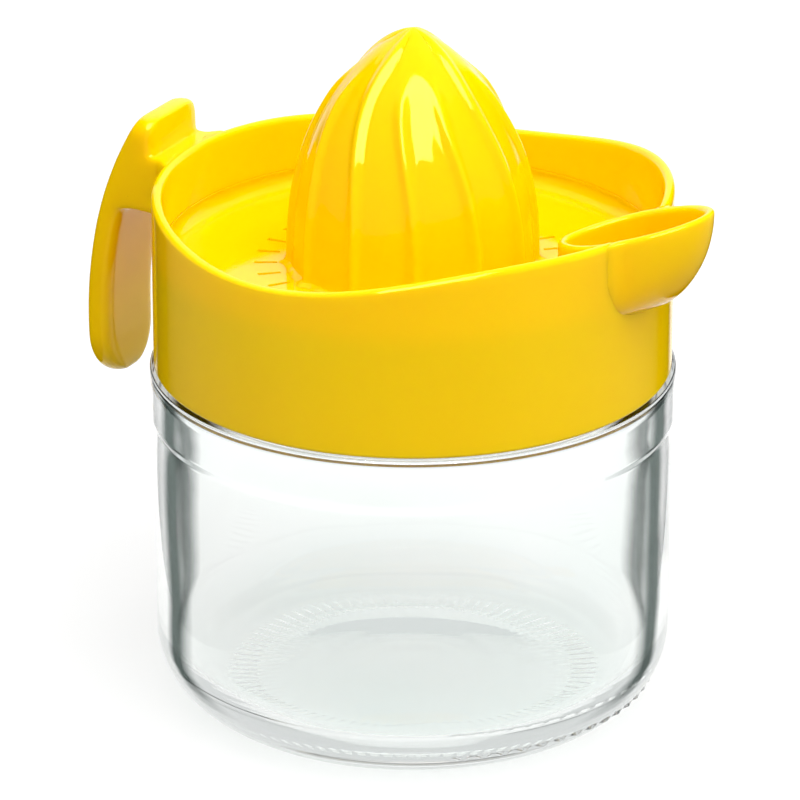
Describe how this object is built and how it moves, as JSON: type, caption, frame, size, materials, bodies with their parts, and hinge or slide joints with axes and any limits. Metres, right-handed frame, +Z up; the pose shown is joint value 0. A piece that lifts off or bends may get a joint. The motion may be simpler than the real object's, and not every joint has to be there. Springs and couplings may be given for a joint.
{
  "type": "citrus juicer",
  "caption": "Hand citrus juicer: a screw collar with bowl, pouring spout and handle on a round glass jar, with a lift-out ridged reamer and strainer.",
  "frame": {"origin": "middle of the jar's foot, on the surface that it stands on", "axes": "+Z up along the jar's axis, +X towards the spout, so the handle is on -X"},
  "size_m": [0.1363, 0.1058, 0.142],
  "materials": {
    "clear_glass": "clear pressed soda glass",
    "soft_gasket": "matt milky silicone",
    "yellow_plastic": "glossy moulded"
  },
  "bodies": {
    "jar": {"glass_jar": "clear_glass"},
    "gasket": {"sealing_gasket": "soft_gasket"},
    "collar": {"collar_bowl": "yellow_plastic"},
    "reamer": {"reamer_strainer": "yellow_plastic"}
  },
  "joints": [
    {"name": "collar_lift", "type": "slide", "parent": "jar", "child": "gasket", "axis": [0, 0, 1], "range_m": [0, 0.00625]},
    {"name": "collar_turn", "type": "hinge", "parent": "gasket", "child": "collar", "pos_m": [0, 0, 0.08], "axis": [0, 0, 1], "range_deg": [0, 450]},
    {"name": "reamer_lift", "type": "slide", "parent": "collar", "child": "reamer", "axis": [0, 0, 1], "range_m": [0, 0.06]}
  ],
  "couplings": [
    {"joint": "collar_lift", "follows": "collar_turn", "m_per_rad": 0.00079577}
  ]
}
